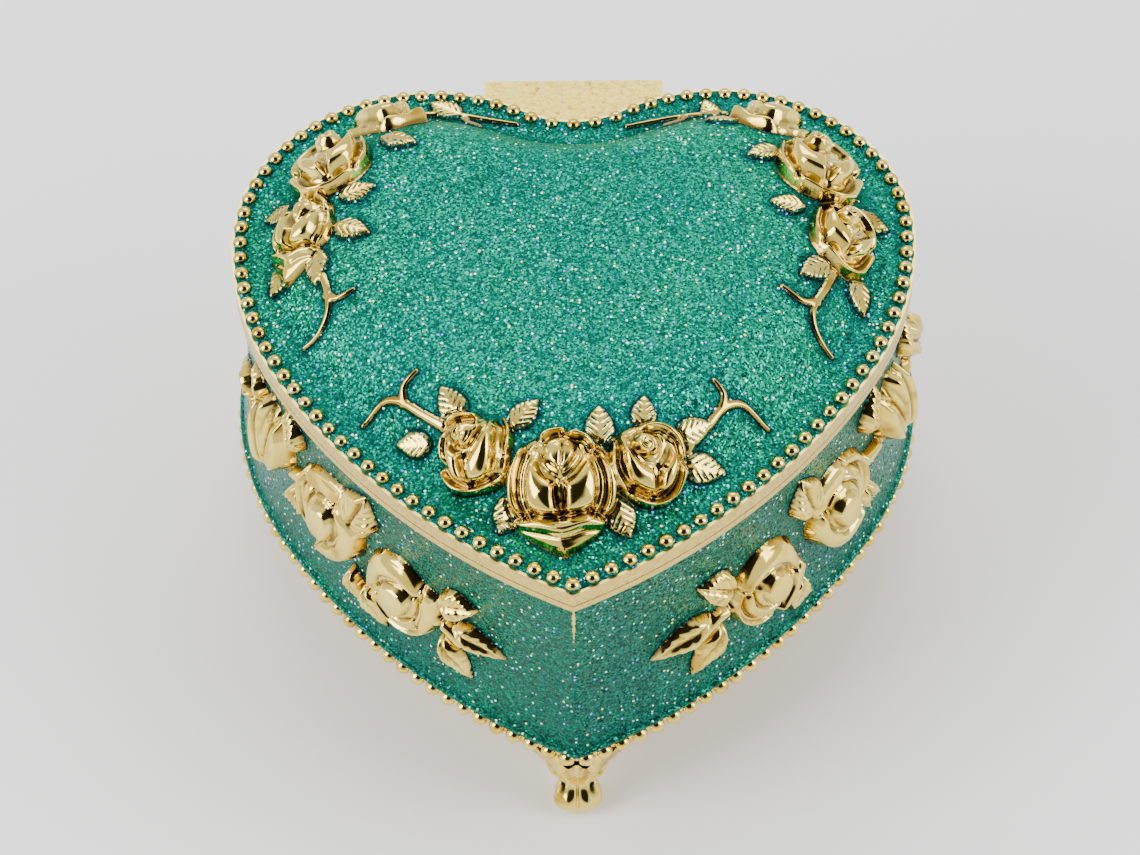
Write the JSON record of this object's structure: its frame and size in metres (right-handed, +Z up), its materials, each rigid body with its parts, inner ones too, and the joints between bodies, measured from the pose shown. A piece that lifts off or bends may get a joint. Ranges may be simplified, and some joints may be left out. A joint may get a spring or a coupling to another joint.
{
  "type": "wind-up music box",
  "caption": "Heart-shaped footed trinket box in glitter enamel and gold plate with relief roses, a domed hinged lid, a lined tray and a key-wound pinned-cylinder movement.",
  "frame": {"origin": "on the resting surface under the feet, at the middle of the box that the closed object fills", "axes": "+Z up; -Y towards the heart's point, +Y towards the hinge; +X to the right seen from the point; lid closed at rest"},
  "size_m": [0.0914, 0.0855, 0.0566],
  "materials": {
    "gold_plate": "bright pale gold plating on cast zinc",
    "glitter_enamel": "teal glitter enamel under a clear gloss",
    "velvet": "short black velvet",
    "tray_card": "matt stiff board",
    "steel": "bright spring steel",
    "cast_zinc": "grained zinc die casting",
    "movement_brass": "turned brass",
    "black_plastic": "moulded black"
  },
  "bodies": {
    "case": {"base_shell": "gold_plate", "base_enamel": "glitter_enamel", "base_bead_border": "gold_plate", "base_left_garland": "gold_plate", "base_right_garland": "gold_plate", "front_foot": "gold_plate", "rear_left_foot": "gold_plate", "rear_right_foot": "gold_plate", "hinge_base_leaf": "gold_plate", "hinge_pin": "gold_plate", "tray_board": "tray_card", "tray_lining": "velvet", "stop_guide": "gold_plate", "movement_bedplate": "cast_zinc", "movement_screws": "steel", "spring_bridge": "cast_zinc", "bridge_screws": "steel", "click_pawl": "steel", "governor_frame": "cast_zinc", "cylinder_bracket": "cast_zinc", "comb_base": "cast_zinc", "comb": "steel", "comb_screws": "steel"},
    "lid": {"lid_shell": "gold_plate", "lid_enamel": "glitter_enamel", "lid_bead_border": "gold_plate", "lid_front_spray": "gold_plate", "lid_left_spray": "gold_plate", "lid_right_spray": "gold_plate", "lid_lining": "velvet", "hinge_lid_leaf": "gold_plate"},
    "stop": {"stop_plunger": "steel"},
    "winder": {"winding_key": "gold_plate", "winding_arbor": "steel", "ratchet_wheel": "steel"},
    "barrel": {"spring_barrel": "movement_brass", "mainspring": "steel"},
    "cylinder": {"pin_cylinder": "movement_brass", "cylinder_pins": "steel", "cylinder_arbor": "steel", "crown_pinion": "movement_brass", "great_gear": "movement_brass"},
    "governor": {"governor_pinion": "movement_brass", "governor_arbor": "steel", "worm_wheel": "movement_brass"},
    "air_brake": {"worm_shaft": "steel", "fan": "black_plastic"}
  },
  "joints": [
    {"name": "lid_hinge", "type": "hinge", "parent": "case", "child": "lid", "pos_m": [0, 0.04126, 0.04495], "axis": [-1, 0, 0], "range_deg": [0, 100]},
    {"name": "stop_slide", "type": "slide", "parent": "case", "child": "stop", "axis": [0, 0, 1], "range_m": [0, 0.0022]},
    {"name": "winding_spin", "type": "hinge", "parent": "case", "child": "winder", "pos_m": [-0.0133, 0.01, 0.009], "axis": [0, 0, 1], "continuous": true},
    {"name": "cylinder_spin", "type": "hinge", "parent": "case", "child": "cylinder", "pos_m": [0.0092, 0.01, 0.02347], "axis": [1, 0, 0], "continuous": true},
    {"name": "barrel_spin", "type": "hinge", "parent": "case", "child": "barrel", "pos_m": [-0.0133, 0.01, 0.017], "axis": [0, 0, 1], "continuous": true},
    {"name": "governor_spin", "type": "hinge", "parent": "case", "child": "governor", "pos_m": [0.0212, 0.0184, 0.02347], "axis": [1, 0, 0], "continuous": true},
    {"name": "fan_spin", "type": "hinge", "parent": "case", "child": "air_brake", "pos_m": [0.02215, 0.02294, 0.02347], "axis": [0, 0, 1], "continuous": true}
  ],
  "couplings": [
    {"joint": "stop_slide", "follows": "lid_hinge", "m_per_rad": 0.0012605},
    {"joint": "barrel_spin", "follows": "cylinder_spin", "ratio": 0.33333},
    {"joint": "governor_spin", "follows": "cylinder_spin", "ratio": -3.8},
    {"joint": "fan_spin", "follows": "cylinder_spin", "ratio": 91.2}
  ]
}
